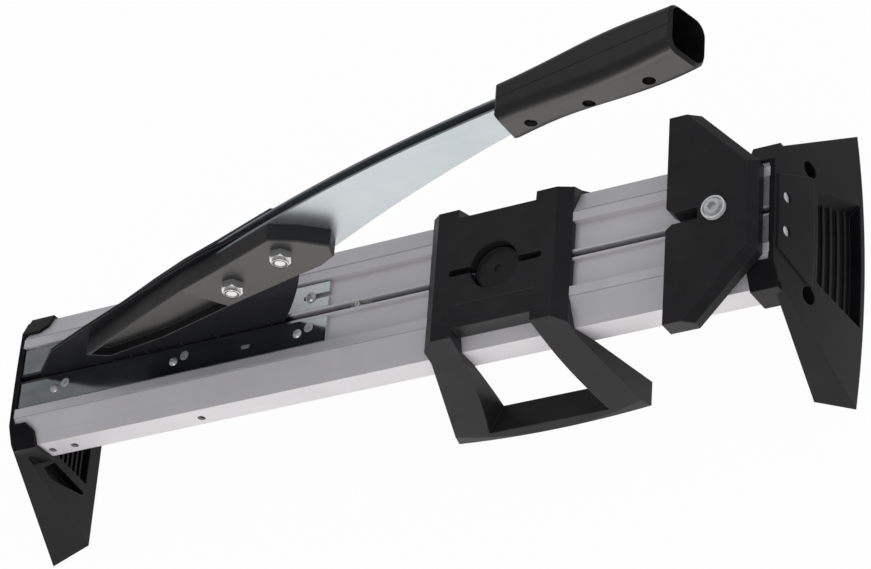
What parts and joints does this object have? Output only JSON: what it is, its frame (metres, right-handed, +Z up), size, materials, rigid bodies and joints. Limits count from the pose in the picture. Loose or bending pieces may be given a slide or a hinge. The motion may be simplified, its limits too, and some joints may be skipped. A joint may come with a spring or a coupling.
{
  "type": "laminate cutter",
  "caption": "Bench cutter for laminate flooring: slotted aluminium beam on two end feet, shear blade on a long lever, sliding support and angle stop.",
  "frame": {"origin": "on the bench, under the middle of the whole cutter's length and width", "axes": "+X along the beam from the blade's pivot to the angle stop, +Y to the back, +Z up"},
  "size_m": [0.8901, 0.2814, 0.4133],
  "materials": {
    "anodised_aluminium": "satin natural anodised extrusion",
    "zinc_plate": "bright zinc plated steel strip",
    "zinc_lever": "satin zinc plated steel channel",
    "dark_blade": "blackened steel blade",
    "bright_steel": "plated screws, bolts and nuts",
    "bronze": "plain sintered bronze bush",
    "black_plastic": "fine grained black moulding"
  },
  "bodies": {
    "base": {"base_beam": "anodised_aluminium", "left_foot": "black_plastic", "right_foot": "black_plastic", "foot_screws": "bright_steel", "front_cutting_plate": "zinc_plate", "rear_cutting_plate": "zinc_plate", "plate_dome_screws": "bright_steel", "plate_sunk_screws": "bright_steel", "rear_plate_screws": "bright_steel", "rear_plate_washers": "bright_steel", "front_pivot_cheek": "black_plastic", "rear_pivot_cheek": "black_plastic", "pivot_pin": "bright_steel", "block_screws": "bright_steel", "blade_guide": "black_plastic", "guide_screws": "bright_steel", "slot_stop_nut": "bright_steel", "slot_stop_screw": "bright_steel"},
    "arm": {"pivot_bush": "bronze", "blade": "dark_blade", "blade_spacers": "bright_steel", "lever_arm": "zinc_lever", "carrier_front": "black_plastic", "carrier_rear": "black_plastic", "carrier_bolts": "bright_steel", "carrier_nuts": "bright_steel", "grip_front": "black_plastic", "grip_rear": "black_plastic", "grip_screws": "bright_steel"},
    "support": {"sliding_support": "black_plastic", "support_slot_nut": "bright_steel"},
    "support_clamp": {"support_clamp_disc": "bright_steel", "support_clamp_screw": "bright_steel"},
    "stop_carriage": {"stop_slot_nut": "bright_steel", "stop_clamp_bolt": "bright_steel", "stop_washer": "bright_steel"},
    "stop": {"angle_stop": "black_plastic"}
  },
  "joints": [
    {"name": "arm_pivot", "type": "hinge", "parent": "base", "child": "arm", "pos_m": [-0.367, 0, 0.102], "axis": [0, -1, 0], "range_deg": [0, 55]},
    {"name": "support_slide", "type": "slide", "parent": "base", "child": "support", "axis": [1, 0, 0], "range_m": [-0.07, 0.035]},
    {"name": "support_clamp_turn", "type": "hinge", "parent": "support", "child": "support_clamp", "pos_m": [0.1235, 0, 0.124], "axis": [0, 0, 1], "range_deg": [-180, 180]},
    {"name": "stop_slide", "type": "slide", "parent": "base", "child": "stop_carriage", "axis": [1, 0, 0], "range_m": [-0.06, 0.004]},
    {"name": "stop_turn", "type": "hinge", "parent": "stop_carriage", "child": "stop", "pos_m": [0.346, 0, 0.126], "axis": [0, 0, 1], "range_deg": [-45, 45]}
  ]
}
